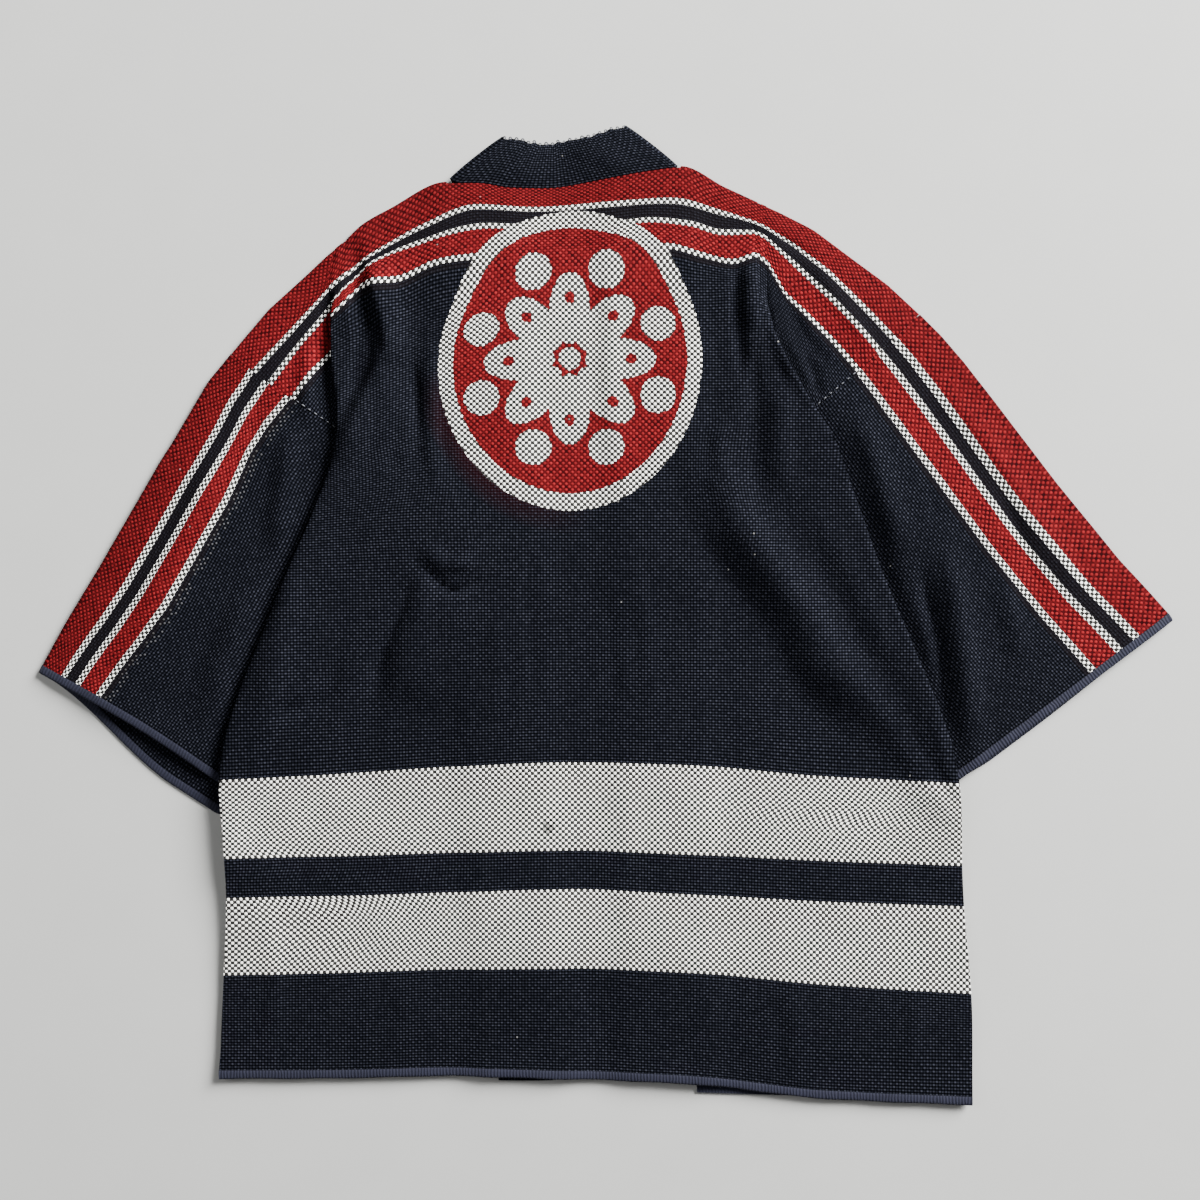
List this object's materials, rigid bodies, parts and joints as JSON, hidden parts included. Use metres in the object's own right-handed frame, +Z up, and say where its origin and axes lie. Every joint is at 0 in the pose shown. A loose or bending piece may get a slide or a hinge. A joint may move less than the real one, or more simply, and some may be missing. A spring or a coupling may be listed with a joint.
{
  "type": "happi coat",
  "caption": "Short open-fronted coat in heavy sashiko cloth with a banded collar and wide sleeves, laid flat on its fronts with its back up.",
  "frame": {"origin": "centre of the coat's outline, on the surface it lies on", "axes": "+X to the right across the back, +Y towards the collar, +Z up from the surface"},
  "size_m": [0.9652, 0.8338, 0.0132],
  "materials": {
    "sashiko_navy": "matt, heavily ribbed cotton weave",
    "binding_slate": "matt ribbed cotton tape"
  },
  "bodies": {
    "root": {"back_panel": "sashiko_navy", "collar_band": "sashiko_navy", "cuff_binding_left": "binding_slate", "cuff_binding_right": "binding_slate", "front_left": "sashiko_navy", "front_right": "sashiko_navy", "hem_binding_back": "binding_slate", "hem_binding_front_left": "binding_slate", "hem_binding_front_right": "binding_slate", "sleeve_left": "sashiko_navy", "sleeve_right": "sashiko_navy"}
  },
  "joints": []
}
